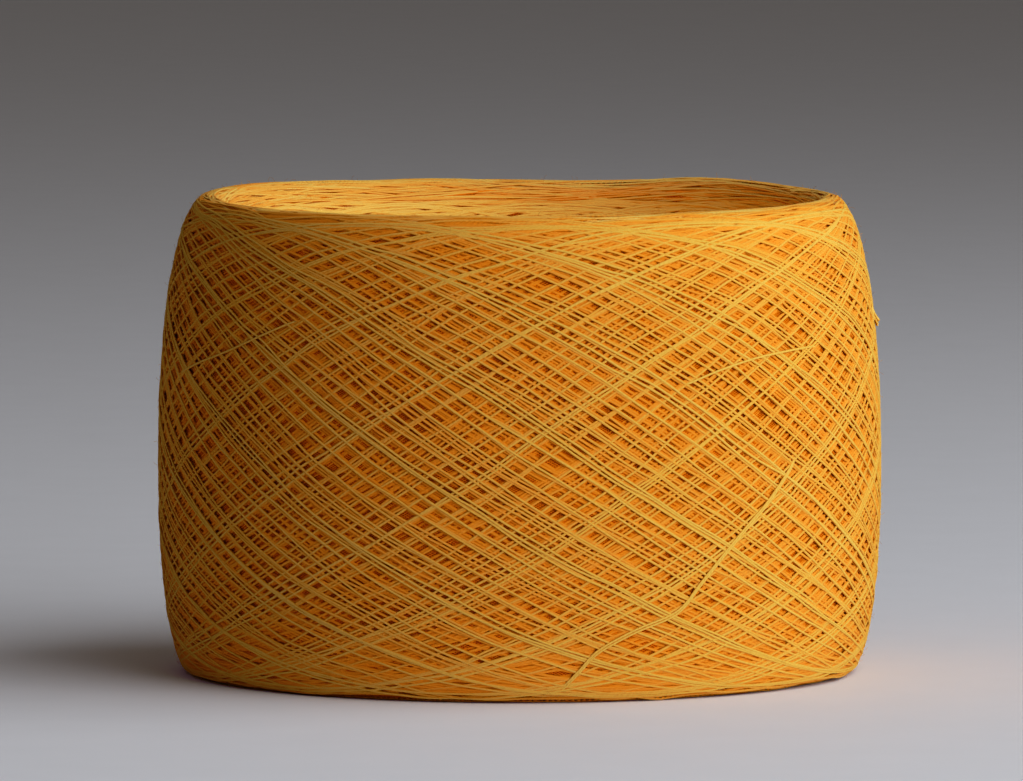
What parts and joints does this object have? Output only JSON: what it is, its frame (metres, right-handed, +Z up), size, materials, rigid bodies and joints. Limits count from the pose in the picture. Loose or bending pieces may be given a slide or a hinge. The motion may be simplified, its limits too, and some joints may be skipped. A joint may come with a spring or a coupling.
{
  "type": "yarn cake",
  "caption": "Wide coreless cake of fine mustard yarn, cross-wound into a barrel-sided ring with an open middle; stands on its flat foot.",
  "frame": {"origin": "middle of the flat foot, on the surface that the cake stands on", "axes": "+Z up along the axis that the yarn is wound round; the side that shows in the picture faces -Y, with +X to its right"},
  "size_m": [0.151, 0.15, 0.0993],
  "materials": {
    "yarn": "matt, slightly fuzzy plied yarn"
  },
  "bodies": {
    "root": {"yarn_cake": "yarn"}
  },
  "joints": []
}
